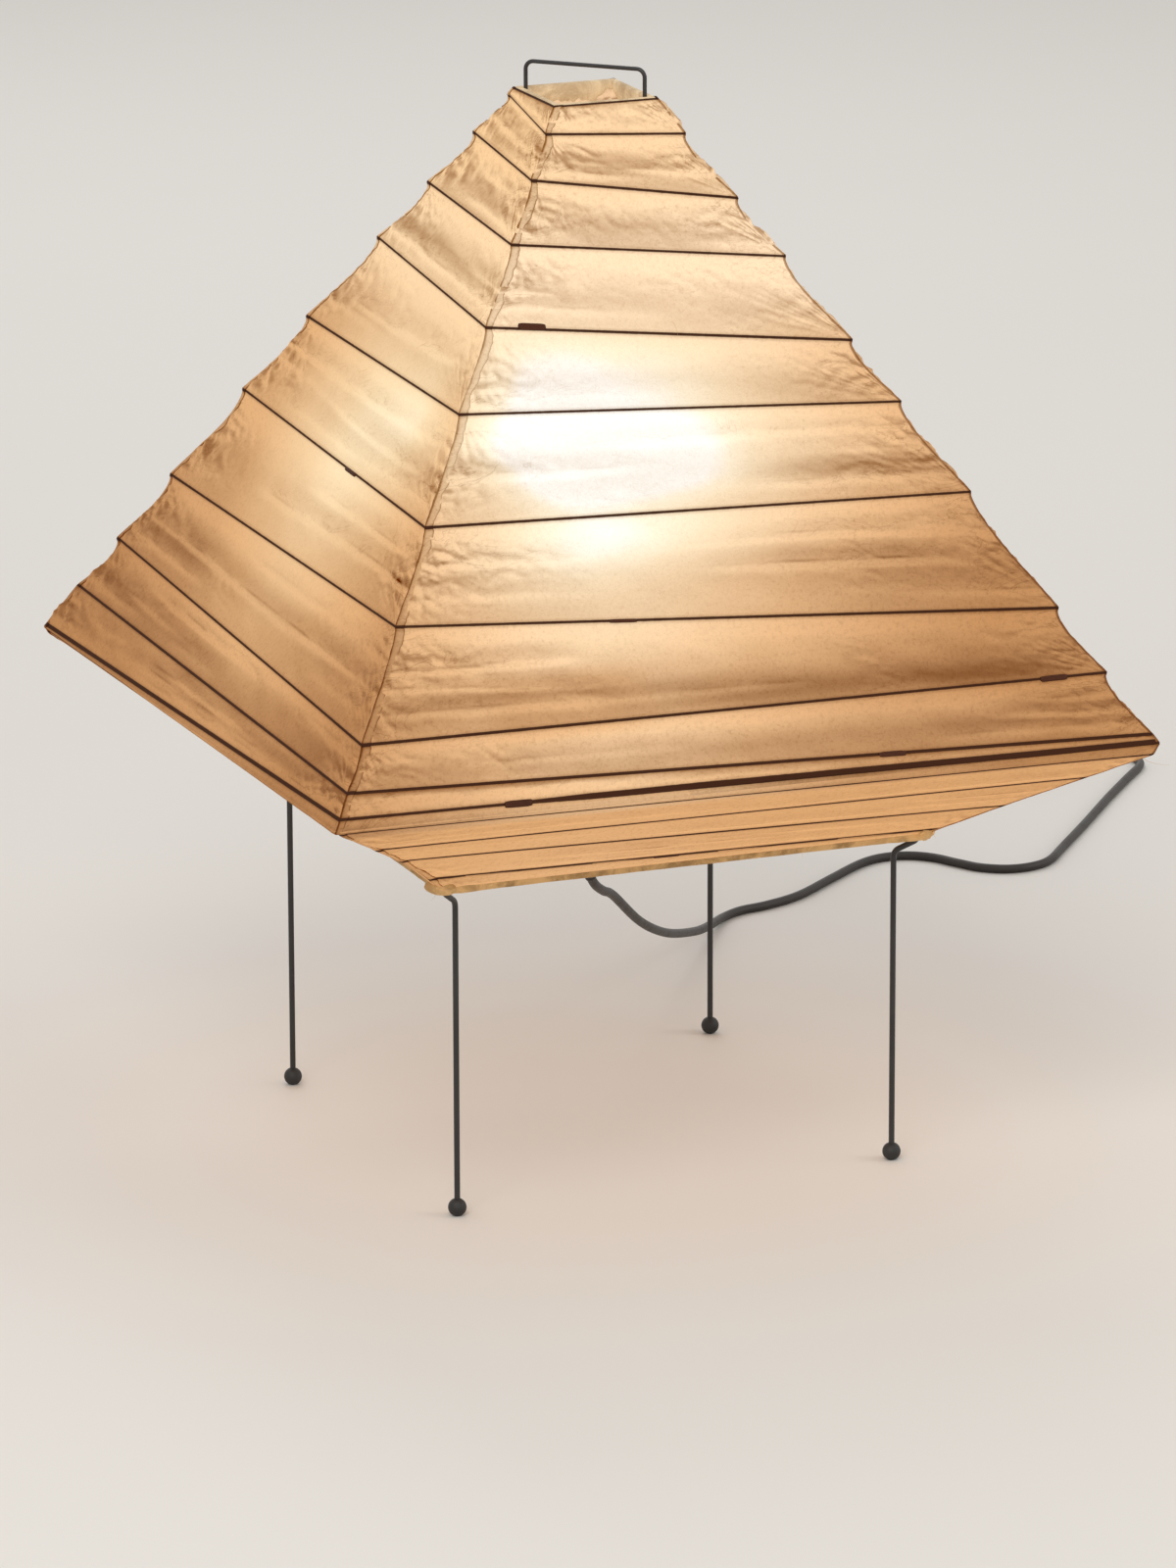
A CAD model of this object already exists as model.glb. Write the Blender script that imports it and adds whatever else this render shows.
"""Looks of a square paper table lamp: glowing creased paper over a wound bamboo strip, on a black wire stand."""

import logging
import math
from dataclasses import dataclass, field
from enum import Enum
from typing import Any, Callable, Iterable, Sequence

import bpy
import numpy as np
from mathutils import Matrix

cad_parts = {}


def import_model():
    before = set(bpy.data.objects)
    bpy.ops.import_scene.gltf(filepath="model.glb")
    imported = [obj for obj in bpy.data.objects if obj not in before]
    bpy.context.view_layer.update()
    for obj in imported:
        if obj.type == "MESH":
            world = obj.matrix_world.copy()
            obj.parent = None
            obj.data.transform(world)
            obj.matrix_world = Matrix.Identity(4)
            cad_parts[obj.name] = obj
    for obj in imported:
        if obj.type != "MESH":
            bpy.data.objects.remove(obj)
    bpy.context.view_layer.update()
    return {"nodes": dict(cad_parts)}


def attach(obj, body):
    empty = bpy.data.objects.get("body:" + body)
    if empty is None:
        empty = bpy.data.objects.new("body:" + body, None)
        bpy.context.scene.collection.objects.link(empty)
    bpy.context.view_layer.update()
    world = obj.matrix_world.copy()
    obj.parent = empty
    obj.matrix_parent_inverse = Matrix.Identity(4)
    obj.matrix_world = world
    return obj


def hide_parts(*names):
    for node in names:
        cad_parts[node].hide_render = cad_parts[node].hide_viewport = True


LOG = logging.getLogger("paper_lamp")
MM = 0.001
IMAGE = (1200, 1600)
RIM, UNDER, EDGE = 100, 200, 300  # places down the paper: widest edge, fold under its band, lower edge
CORD_STEP = 0.002  # metres between the cord's points
Array = np.ndarray
Colour = tuple[float, float, float]
Material = bpy.types.Material
Piece = bpy.types.Object


class Body(str, Enum):
    """Moving parts of the lamp."""

    BASE = "base"
    STRETCHER = "stretcher"
    SHADE = "shade"
    BULB = "bulb"
    ROCKER = "rocker"


class Side(int, Enum):
    """Faces of the shade, in the order in which the strip passes them."""

    LEFT = 0
    FRONT = 1
    RIGHT = 2
    BACK = 3


class Flow:
    """A socket that carries a value, with arithmetic that adds Math nodes."""

    def __init__(self, graph: "Graph", socket: Any) -> None:
        """Keep the graph and the output socket."""
        self.graph = graph
        self.socket = socket

    def _math(self, operation: str, *values: Any) -> "Flow":
        """One Math node on numbers or flows."""
        return self.graph.add("Math", {"operation": operation}, dict(enumerate(values)))

    def __add__(self, other: Any) -> "Flow":
        """Sum."""
        return self._math("ADD", self, other)

    __radd__ = __add__

    def __sub__(self, other: Any) -> "Flow":
        """Difference."""
        return self._math("SUBTRACT", self, other)

    def __rsub__(self, other: Any) -> "Flow":
        """Difference from a number."""
        return self._math("SUBTRACT", other, self)

    def __mul__(self, other: Any) -> "Flow":
        """Product."""
        return self._math("MULTIPLY", self, other)

    __rmul__ = __mul__

    def __truediv__(self, other: Any) -> "Flow":
        """Quotient."""
        return self._math("DIVIDE", self, other)

    def __rtruediv__(self, other: Any) -> "Flow":
        """Quotient of a number by this."""
        return self._math("DIVIDE", other, self)

    def __neg__(self) -> "Flow":
        """Opposite."""
        return self._math("MULTIPLY", self, -1.0)

    def __abs__(self) -> "Flow":
        """Size without sign."""
        return self._math("ABSOLUTE", self)

    def least(self, other: Any) -> "Flow":
        """The lesser of two values."""
        return self._math("MINIMUM", self, other)

    def most(self, other: Any) -> "Flow":
        """The greater of two values."""
        return self._math("MAXIMUM", self, other)

    def fraction(self) -> "Flow":
        """The part after the point."""
        return self._math("FRACT", self)

    def between(self, low: float, high: float) -> "Flow":
        """Smooth step: 0 at low, 1 at high, flat outside them."""
        return self.graph.add("MapRange", {"interpolation_type": "SMOOTHSTEP", "clamp": True},
                              {"Value": self, "From Min": low, "From Max": high, "To Min": 0.0, "To Max": 1.0})


class Graph:
    """The cleared node tree of a material or of the world."""

    def __init__(self, owner: Material | bpy.types.World) -> None:
        """Clear the owner's nodes.

        Args:
            owner: the material or the world.
        """
        owner.use_nodes = True
        self.owner, self.tree = owner, owner.node_tree
        self.tree.nodes.clear()

    def add(self, kind: str, settings: dict[str, Any] | None = None, inputs: dict[Any, Any] | None = None,
            out: Any = 0) -> Flow | None:
        """Add any node.

        Args:
            kind: the node's type, without its prefix.
            settings: properties, set before the sockets; "stops" fills a colour ramp.
            inputs: values or flows for the sockets, by name or number.
            out: name or number of the output that is wanted.

        Returns:
            That output, or None where the node has none.
        """
        node = self.tree.nodes.new("ShaderNode" + kind)
        for key, value in (settings or {}).items():
            if key == "stops":
                ramp = node.color_ramp.elements
                while len(ramp) < len(value):
                    ramp.new(1.0)
                for element, (place, colour) in zip(ramp, value):
                    element.position = place
                    element.color = (*colour, 1.0)
            else:
                setattr(node, key, value)
        for key, value in (inputs or {}).items():
            self.put(node.inputs[key], value)
        return Flow(self, node.outputs[out]) if len(node.outputs) else None

    def put(self, socket: Any, value: Any) -> None:
        """Give a socket a value or a link.

        Args:
            socket: the input socket.
            value: a number, a colour or a flow.
        """
        if isinstance(value, Flow):
            self.tree.links.new(value.socket, socket)
        elif isinstance(value, (tuple, list)):
            socket.default_value = (*value, 1.0) if len(value) == 3 and len(socket.default_value) == 4 else value
        else:
            socket.default_value = value

    def surface(self, **inputs: Any) -> Material:
        """Close the material with its one surface shader.

        Args:
            inputs: values or flows, with underscores for the spaces in the sockets' names.

        Returns:
            The finished material.
        """
        shader = self.add("BsdfPrincipled", None, {key.replace("_", " "): value for key, value in inputs.items()})
        self.add("OutputMaterial", None, {"Surface": shader})
        return self.owner

    def attribute(self, name: str) -> Flow:
        """A number that the mesh carries at its points."""
        return self.add("Attribute", {"attribute_name": name}, out="Fac")

    def noise(self, vector: Flow, scale: float, detail: float = 3.0, roughness: float = 0.55,
              distortion: float = 0.0) -> Flow:
        """Noise from 0 to 1 over a vector.

        Args:
            vector: the coordinates.
            scale: cells per metre.
            detail: octaves.
            roughness: weight of the finer octaves.
            distortion: how far the pattern is warped.

        Returns:
            The noise.
        """
        return self.add("TexNoise", None, {"Vector": vector, "Scale": scale, "Detail": detail,
                                           "Roughness": roughness, "Distortion": distortion}, "Fac")

    def threads(self, noise: Flow, width: float) -> Flow:
        """Lines where a noise passes its middle: 1 on them, 0 where it is width away."""
        return 1 - abs(noise - 0.5).between(0.0, width)

    def stretch(self, vector: Flow, scale: Sequence[float]) -> Flow:
        """Coordinates scaled, so that a pattern runs one way."""
        return self.add("Mapping", {"vector_type": "POINT"}, {"Vector": vector, "Scale": tuple(scale)})

    def blend(self, factor: Any, low: Any, high: Any, how: str = "MIX") -> Flow:
        """Two colours mixed: factor 0 gives low and 1 gives high."""
        return self.add("Mix", {"data_type": "RGBA", "blend_type": how}, {0: factor, 6: low, 7: high}, 2)

    def ramp(self, factor: Any, stops: Sequence[tuple[float, Colour]]) -> Flow:
        """Colour from a ramp with the given stops."""
        return self.add("ValToRGB", {"stops": stops}, {0: factor}, "Color")

    def bump(self, height: Flow, depth: float, strength: float = 1.0, under: Flow | None = None) -> Flow:
        """Surface normal from a height.

        Args:
            height: the height, from 0 to 1.
            depth: what 1 stands for, in metres.
            strength: share of the bump that is used.
            under: a normal that it is laid on.

        Returns:
            The normal.
        """
        inputs: dict[Any, Any] = {"Height": height, "Distance": depth, "Strength": strength}
        if under is not None:
            inputs["Normal"] = under
        return self.add("Bump", None, inputs, "Normal")


def canvas(name: str) -> tuple[Graph, Flow]:
    """The graph of a new material, and its object coordinates in metres."""
    g = Graph(bpy.data.materials.new(name))
    return g, g.add("TexCoord", out="Object")


def publish(name: str, points: Array, faces: Sequence[Array], material: Material, body: Body, slot: str,
            numbers: dict[str, Array] | None = None) -> Piece:
    """Put points and faces into an object that rides on a body.

    Args:
        name: the object's name.
        points: n by 3, in metres.
        faces: integer arrays of equal-sided faces, each m by 3 or m by 4.
        material: its finish.
        body: what it rides on.
        slot: the record's material slot.
        numbers: values at the points, by attribute name.

    Returns:
        The object.
    """
    loops = np.concatenate([f.ravel() for f in faces]).astype(np.int32)
    sizes = np.concatenate([np.full(len(f), f.shape[1]) for f in faces]).astype(np.int32)
    mesh = bpy.data.meshes.new(name)
    mesh.vertices.add(len(points))
    mesh.vertices.foreach_set("co", np.ascontiguousarray(points, np.float32).ravel())
    mesh.loops.add(len(loops))
    mesh.loops.foreach_set("vertex_index", loops)
    mesh.polygons.add(len(sizes))
    mesh.polygons.foreach_set("loop_start", np.concatenate([[0], np.cumsum(sizes)[:-1]]).astype(np.int32))
    mesh.polygons.foreach_set("use_smooth", np.ones(len(sizes), bool))
    for key, value in (numbers or {}).items():
        mesh.attributes.new(key, "FLOAT", "POINT").data.foreach_set("value", value.astype(np.float32).ravel())
    mesh.update(calc_edges=True)
    mesh.validate()
    mesh.materials.append(material)
    piece = bpy.data.objects.new(name, mesh)
    bpy.context.scene.collection.objects.link(piece)
    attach(piece, body.value)
    LOG.info("%s: %d points, %d faces, on %s", name, len(points), len(sizes), body.value)
    return piece


def lattice(rows: int, columns: int, wrap_rows: bool = False, wrap_columns: bool = False) -> Array:
    """Faces of a grid whose point (i, j) has the number i * columns + j.

    Args:
        rows: number of rows.
        columns: number of columns.
        wrap_rows: whether the last row joins the first.
        wrap_columns: whether the last column joins the first.

    Returns:
        Quads, m by 4, facing along the columns' direction crossed with the rows'.
    """
    i = np.arange(rows if wrap_rows else rows - 1)[:, None]
    j = np.arange(columns if wrap_columns else columns - 1)[None, :]
    below, right = (i + 1) % rows, (j + 1) % columns
    quads = np.stack([i * columns + j, below * columns + j, below * columns + right, i * columns + right], -1)
    return quads.reshape(-1, 4)


def tube_faces(rings: int, sides: int) -> list[Array]:
    """Faces of a closed tube: its wall, and a fan at each end to one of the two points after the rings' own.

    Args:
        rings: number of rings.
        sides: points in each ring.

    Returns:
        The wall's quads and both fans' triangles.
    """
    k = np.arange(sides)
    after = (k + 1) % sides
    middle = rings * sides
    first = np.stack([np.full(sides, middle), after, k], 1)
    last = np.stack([np.full(sides, middle + 1), middle - sides + k, middle - sides + after], 1)
    return [lattice(rings, sides, wrap_columns=True)[:, ::-1], first, last]


def leaf_faces(rows: int, columns: int) -> list[Array]:
    """Faces of a thin leaf whose points are an outer grid and then an inner one, joined round their edges.

    Args:
        rows: rows of each grid.
        columns: columns of each grid.

    Returns:
        Quads of the outer grid, of the inner one and of the band round both.
    """
    count = rows * columns
    quads = lattice(rows, columns)
    border = np.concatenate([np.arange(columns), columns * np.arange(1, rows) + columns - 1,
                             count - 2 - np.arange(columns - 1), columns * np.arange(rows - 2, 0, -1)])
    after = np.roll(border, -1)
    return [quads, quads[:, ::-1] + count, np.stack([border, after, after + count, border + count], 1)]


def unit(v: Array) -> Array:
    """Vectors scaled to length 1."""
    return v / np.maximum(np.linalg.norm(v, axis=-1, keepdims=True), 1e-12)


def spin(degrees: float) -> Array:
    """Matrix that turns rows of points about the upright axis: points @ spin."""
    a = math.radians(degrees)
    return np.array([[math.cos(a), math.sin(a), 0], [-math.sin(a), math.cos(a), 0], [0, 0, 1]])


def circle(sides: int) -> Array:
    """Angles of evenly spread points on a circle, in radians."""
    return np.linspace(0, 2 * math.pi, sides, endpoint=False)


def travel(path: Array) -> Array:
    """Distance from the start of a path to each of its points."""
    return np.concatenate([[0], np.cumsum(np.linalg.norm(np.diff(path, axis=0), axis=1))])


def follow(places: Array, along: Array, points: Array) -> Array:
    """Points read off a line at places along it, straight between its own points."""
    return np.stack([np.interp(places, along, points[:, k]) for k in range(3)], 1)


def smooth_line(points: Array, steps: int, closed: bool = False) -> Array:
    """Curve through points: on each stretch a cubic whose slope at a point joins its two neighbours.

    Args:
        points: n by 3.
        steps: points for each stretch.
        closed: whether the last point joins the first.

    Returns:
        The curve's points.
    """
    n = len(points)
    i = np.arange(n if closed else n - 1)
    near = [(i + k) % n if closed else np.clip(i + k, 0, n - 1) for k in (-1, 0, 1, 2)]
    a, b, c, d = (points[k][:, None] for k in near)
    t = (np.arange(steps) / steps)[None, :, None]
    curve = 0.5 * (2 * b + (c - a) * t + (2 * a - 5 * b + 4 * c - d) * t**2 + (3 * b - a - 3 * c + d) * t**3)
    curve = curve.reshape(-1, points.shape[1])
    return curve if closed else np.vstack([curve, points[-1:]])


def resample(points: Array, step: float) -> Array:
    """Points spread evenly along a line.

    Args:
        points: the line, n by 3.
        step: about how far apart they are wanted.

    Returns:
        The points.
    """
    along = travel(points)
    places = np.linspace(0, along[-1], max(2, int(round(along[-1] / step)) + 1))
    return follow(places, along, points)


def tube(path: Array, radius: Array | float, sides: int, ovals: tuple[float, float] = (1.0, 1.0)
         ) -> tuple[Array, list[Array], Array]:
    """Round tube: the circle of directions across the path, times the radius at each point, with closed ends.

    The directions come from an upright guide, which leans over where the path itself is upright.

    Args:
        path: n by 3.
        radius: one radius, or one for each point.
        sides: number of sides.
        ovals: scale across and upright.

    Returns:
        Points, faces and each point's distance along the path.
    """
    tangent = unit(np.gradient(path, axis=0))
    steep = np.clip((np.abs(tangent[:, 2:]) - 0.9) / 0.09, 0, 1)
    guide = (1 - steep) * np.array([0.0, 0.0, 1.0]) + steep * np.array([0.6, 0.8, 0.0])
    across = unit(np.cross(guide, tangent))
    upright = np.cross(tangent, across)
    r = np.broadcast_to(np.asarray(radius, float), (len(path),))[:, None, None]
    turn = circle(sides)[None, :, None]
    body = path[:, None] + r * (np.cos(turn) * across[:, None] * ovals[0] + np.sin(turn) * upright[:, None] * ovals[1])
    along = travel(path)
    points = np.vstack([body.reshape(-1, 3), path[:1], path[-1:]])
    return points, tube_faces(len(path), sides), np.concatenate([np.repeat(along, sides), along[:1], along[-1:]])


def joined(parts: Iterable[tuple[Array, list[Array]]]) -> tuple[Array, list[Array]]:
    """Several meshes in one: their points end to end, and their faces renumbered.

    Args:
        parts: points and faces of each.

    Returns:
        Points and faces of all.
    """
    points, faces, first = [], [], 0
    for some, lists in parts:
        points.append(some)
        faces.extend(f + first for f in lists)
        first += len(some)
    return np.vstack(points), faces


def lathe(profile: Array, sides: int) -> tuple[Array, list[Array]]:
    """Turned form: a profile of radius and height carried round an upright axis, closed on the axis.

    Args:
        profile: n by 2, from the bottom up, outermost side out.
        sides: number of sides.

    Returns:
        Points and faces.
    """
    ring = np.stack([np.cos(circle(sides)), np.sin(circle(sides))], 1)
    height = np.broadcast_to(profile[:, None, 1:], (len(profile), sides, 1))
    body = np.concatenate([profile[:, None, :1] * ring[None], height], 2)
    ends = np.array([[0, 0, profile[0, 1]], [0, 0, profile[-1, 1]]])
    return np.vstack([body.reshape(-1, 3), ends]), tube_faces(len(profile), sides)


class Grain:
    """Smooth random height over a plane: gradients on a lattice, blended with a quintic fade."""

    size: int = 64

    def __init__(self, seed: int) -> None:
        """Draw the gradients from a seed."""
        self.angle = np.random.default_rng(seed).uniform(0, 2 * math.pi, (self.size, self.size))

    def __call__(self, x: Array | float, y: Array | float) -> Array:
        """Height over the plane: the four nearest gradients' slopes, faded into one another.

        Args:
            x: first coordinate, in cells.
            y: second coordinate.

        Returns:
            Heights from about -0.7 to 0.7.
        """
        x, y = np.broadcast_arrays(x, y)
        i, j = np.floor(x).astype(int), np.floor(y).astype(int)
        u, v = x - i, y - j
        p, q = (t * t * t * (t * (t * 6 - 15) + 10) for t in (u, v))
        slopes = []
        for b in (0, 1):
            for a in (0, 1):
                angle = self.angle[(i + a) % self.size, (j + b) % self.size]
                slopes.append(np.cos(angle) * (u - a) + np.sin(angle) * (v - b))
        low = slopes[0] * (1 - p) + slopes[1] * p
        high = slopes[2] * (1 - p) + slopes[3] * p
        return low * (1 - q) + high * q

    def ridges(self, x: Array | float, y: Array | float, steep: float) -> Array:
        """Creases: 1 on the lines where the height is 0, falling steeply off them."""
        return 1 - steep * np.abs(self(x, y))


@dataclass(frozen=True)
class Washi:
    """Mulberry paper lit from inside: tan where it is far from the bulb, almost white in front of it."""

    name: str = "lit_paper"
    paper: Colour = (0.30, 0.170, 0.076)
    gain: float = 1.0
    bulb: Colour = (-0.022, -0.012, 0.290)
    bright: float = 0.1285
    fall: float = 0.12
    strip: Colour = (0.034, 0.011, 0.005)
    strip_glow: Colour = (0.014, 0.004, 0.001)

    def light(self, g: Graph, here: Flow, near: Flow) -> Flow:
        """Light that comes through the paper: by distance from the bulb, even near the top, warm underneath.

        Each shift of the distance makes one part of a face lighter or darker, as the real one is.

        Args:
            g: the material's graph.
            here: object coordinates.
            near: distance from the bulb, in metres.

        Returns:
            The colour.
        """
        drift = g.noise(here, 12, 3, 0.6) - 0.5  # uneven edges of the glow
        across, ahead, height = (g.add("SeparateXYZ", None, {0: here}, axis) for axis in range(3))
        left = (-across - abs(ahead)).between(-0.006, 0.006)
        low = 1 - height.between(0.285, 0.355)
        rest = 1 - left
        # The left face is darker. Low on the others the glow lies to the left, fades and comes back at the foot.
        near = near + left * (low * 0.010 + 0.017)
        near = near + low * rest * (across.between(-0.12, 0.09) * 0.040 - 0.021)
        near = near + (1 - height.between(0.296, 0.325)) * rest * 0.010
        near = near - (1 - height.between(0.232, 0.262)) * rest * 0.027
        # A dark sag left of the middle, a weaker right part of the hot spot, and a lighter right end of the foot.
        sag = across.between(-0.130, -0.105) - across.between(-0.065, -0.030)
        near = near + sag * (height.between(0.244, 0.256) - height.between(0.268, 0.278)) * rest * 0.024
        knot = (height.between(0.294, 0.306) - height.between(0.336, 0.350)) * across.between(-0.085, -0.012)
        near = near + knot * rest * 0.0055
        near = near - (1 - height.between(0.240, 0.262)) * across.between(0.03, 0.13) * rest * 0.016
        # The left face, darker past its middle and lighter at its far end, and a brighter top of the front ridge.
        near = near + left * (ahead.between(-0.02, 0.04) * 0.006 - ahead.between(0.08, 0.15) * 0.024)
        corner = (1 - across.between(-0.075, -0.015)) * (1 - ahead.between(-0.075, -0.015))
        near = near - corner * height.between(0.325, 0.375) * 0.012
        glow = g.ramp((near + drift * 0.006 - self.bright) / self.fall, [
            (0.02, (0.80, 0.87, 0.88)), (0.05, (0.78, 0.76, 0.63)), (0.09, (0.72, 0.64, 0.475)),
            (0.15, (0.66, 0.535, 0.37)), (0.28, (0.57, 0.405, 0.25)), (0.44, (0.48, 0.30, 0.162)),
            (0.72, (0.32, 0.165, 0.075)), (1.0, (0.22, 0.09, 0.03))])
        level = height + drift * 0.02
        glow = g.blend(level.between(0.385, 0.430) * 0.8, glow, (0.74, 0.62, 0.455))
        glow = g.blend(level.between(0.440, 0.485) * 0.9, glow, (0.63, 0.46, 0.285))
        glow = g.blend(left * 0.6, glow, (0.97, 0.86, 0.68), "MULTIPLY")
        return g.blend((1 - height.between(0.2125, 0.2165)) * 0.9, glow, (0.52, 0.275, 0.115))

    def make(self) -> Material:
        """Build the material: the glow, dimmed by pulp, folds and creases, with the strip's dark line and its halo.

        Returns:
            The finished material.
        """
        g, here = canvas(self.name)
        grit = g.noise(here, 1250, 3, 0.75)
        pulp = g.noise(here, 520, 4, 0.7)
        mottle = g.noise(here, 30, 4, 0.6)
        vein = g.threads(g.noise(g.stretch(here, (0.32, 0.32, 1.0)), 72, 4, 0.62, 1.1), 0.012)
        wisp = g.threads(g.noise(here, 190, 2, 0.5, 1.8), 0.022)
        crease = g.attribute("crease")
        near = g.add("VectorMath", {"operation": "DISTANCE"}, {0: here, 1: self.bulb}, "Value")
        cool = near.between(0.128, 0.178)
        dim = (1 + g.attribute("relief") * (0.40 + cool * 0.60)) * (0.88 + grit * 0.28)
        dim = dim * (1 - pulp.between(0.46, 0.74) * (0.06 + cool * 0.11))
        dim = dim * (0.965 + mottle * 0.07) * (1 - vein * crease * 0.24) * (1 - wisp * 0.05)
        off = abs((g.attribute("turn") + 0.5).fraction() - 0.5) * g.attribute("pitch")
        off = off + (g.noise(here, 300, 2) - 0.5) * 0.22 - g.attribute("line")
        line = 1 - off.between(-0.22, 0.22)
        dim = dim * (1 - (1 - off.between(-0.2, 1.7)) * 0.24) * self.gain
        shade = (1 - dim).most(0.0)
        tint = g.add("CombineColor", None, {0: dim, 1: dim - shade * 0.20, 2: dim - shade * 0.38})
        glow = g.blend(line, g.blend(1.0, self.light(g, here, near), tint, "MULTIPLY"), self.strip_glow)
        body = g.blend(line * 0.98, g.blend(1.0, self.paper, tint, "MULTIPLY"), self.strip)
        normal = g.bump(grit * 0.5 + pulp, 0.00012, 0.6)
        normal = g.bump(vein * crease + mottle * 0.5, 0.0002, 0.7, normal)
        normal = g.bump(1 - off.between(-0.75, 0.9), 0.0006, 0.8, normal)
        return g.surface(Base_Color=body, Roughness=0.74 + pulp * 0.16, Emission_Color=glow, Emission_Strength=1.0,
                         Normal=normal, Specular_IOR_Level=0.10)


@dataclass(frozen=True)
class Painted:
    """Steel with a thin coat of paint: a fine orange peel, worn a little on the bends."""

    name: str
    colour: Colour = (0.012, 0.011, 0.011)
    rough: float = 0.42

    def make(self) -> Material:
        """Build the material: dusty paint over a fine peel.

        Returns:
            The finished material.
        """
        g, here = canvas(self.name)
        peel = g.noise(here, 700, 3, 0.6)
        dust = g.noise(here, 60, 5, 0.65).between(0.42, 0.8)
        lighter = tuple(min(1.0, c * 1.9 + 0.012) for c in self.colour)
        colour = g.blend(dust * 0.55 + peel * 0.12, self.colour, lighter)
        return g.surface(Base_Color=colour, Roughness=self.rough + dust * 0.16 + peel * 0.06,
                         Normal=g.bump(peel, 0.00006, 0.7), Coat_Weight=0.12)


@dataclass(frozen=True)
class Metal:
    """Bare or plated metal with drawn lines, small stains and softened gloss."""

    name: str
    colour: Colour
    stain: Colour
    rough: float

    def make(self) -> Material:
        """Build the material: lines drawn out across the axis, under stains.

        Returns:
            The finished material.
        """
        g, here = canvas(self.name)
        drawn = g.noise(g.stretch(here, (1.0, 1.0, 30.0)), 160, 4, 0.6)
        cloud = g.noise(here, 90, 4, 0.6).between(0.4, 0.75)
        colour = g.blend(cloud * 0.45, self.colour, self.stain)
        return g.surface(Base_Color=colour, Metallic=1.0, Roughness=self.rough + cloud * 0.2 + drawn * 0.12,
                         Normal=g.bump(drawn, 0.00003, 0.6))


@dataclass(frozen=True)
class Moulded:
    """Plastic or glazed clay: fine mould texture, faint flow marks and dust in the hollows."""

    name: str
    colour: Colour
    rough: float
    grain: float = 1400.0
    depth: float = 0.00005
    coat: float = 0.0

    def make(self) -> Material:
        """Build the material: grain over flow marks.

        Returns:
            The finished material.
        """
        g, here = canvas(self.name)
        grain = g.noise(here, self.grain, 2, 0.5)
        flow = g.noise(g.stretch(here, (1.0, 1.0, 0.35)), 70, 4, 0.6, 0.8)
        lighter = tuple(min(1.0, c * 1.25 + 0.01) for c in self.colour)
        colour = g.blend(flow.between(0.35, 0.75) * 0.8 + grain * 0.15, self.colour, lighter)
        return g.surface(Base_Color=colour, Roughness=self.rough + flow * 0.12 + grain * 0.05,
                         Normal=g.bump(grain, self.depth, 0.6), Coat_Weight=self.coat)


@dataclass(frozen=True)
class Frosted:
    """Bulb glass frosted inside and lit: a hot middle, and cooler where the glass turns into the cap."""

    name: str = "frosted_bulb"
    low: float = 0.262
    top: float = 0.355

    def make(self) -> Material:
        """Build the material: a glow by height, over specks.

        Returns:
            The finished material.
        """
        g, here = canvas(self.name)
        height = g.add("SeparateXYZ", None, {0: here}, 2)
        speck = g.noise(here, 800, 2)
        glow = g.ramp(height.between(self.low, self.top), [
            (0.0, (0.36, 0.22, 0.11)), (0.4, (0.78, 0.62, 0.42)), (1.0, (0.86, 0.76, 0.58))])
        return g.surface(Base_Color=g.blend(speck, (0.78, 0.75, 0.7), (0.84, 0.82, 0.78)), Emission_Color=glow,
                         Emission_Strength=0.9, Roughness=0.3 + speck * 0.12, Normal=g.bump(speck, 0.00002, 0.5))


@dataclass(frozen=True)
class Cane:
    """Split bamboo: fibres along the strip, darker at its joints, shown by its own distance along."""

    name: str = "split_bamboo"
    pale: Colour = (0.30, 0.155, 0.062)
    dark: Colour = (0.085, 0.038, 0.017)
    joint: float = 0.21

    def make(self) -> Material:
        """Build the material: fibres drawn along, and a dark joint every so far.

        Returns:
            The finished material.
        """
        g, here = canvas(self.name)
        along = g.attribute("along")
        coords = g.add("CombineXYZ", None, {0: along * 4.0, 1: g.noise(here, 900, 2) * 0.4, 2: 0.0})
        fibre = g.noise(coords, 9, 5, 0.7)
        node = g.threads((along / self.joint).fraction(), 0.012)
        middle = tuple((a + b) / 2 for a, b in zip(self.pale, self.dark))
        colour = g.ramp(fibre, [(0.3, self.dark), (0.55, middle), (0.8, self.pale)])
        colour = g.blend(node * 0.7, colour, self.dark)
        return g.surface(Base_Color=colour, Roughness=0.5 + fibre * 0.2, Normal=g.bump(fibre + node, 0.0001, 0.6),
                         Specular_IOR_Level=0.15)


@dataclass(frozen=True)
class Hemmed:
    """Doubled paper with paste in it: brown and mottled, with lighter torn edges."""

    name: str
    dark: Colour
    pale: Colour
    glow: Colour

    def make(self) -> Material:
        """Build the material: paste and strands mixed over the paper, lighter at the edge.

        Returns:
            The finished material.
        """
        g, here = canvas(self.name)
        paste = g.noise(here, 75, 5, 0.65, 0.7)
        fleck = g.noise(here, 420, 3, 0.6)
        strand = g.threads(g.noise(here, 150, 2, 0.5, 2.2), 0.03)
        mix = (paste.between(0.36, 0.68) * 0.75 + g.attribute("edge") * 0.5 + strand * 0.2).least(1.0)
        colour = g.blend(mix, self.dark, self.pale)
        shine = g.blend(mix, tuple(c * 0.35 for c in self.glow), self.glow)
        normal = g.bump(strand * 0.5 + fleck * 0.6 + paste * 0.8, 0.00028, 0.8)
        return g.surface(Base_Color=colour, Emission_Color=shine, Emission_Strength=1.0,
                         Roughness=0.78 + fleck * 0.12, Normal=normal)


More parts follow.
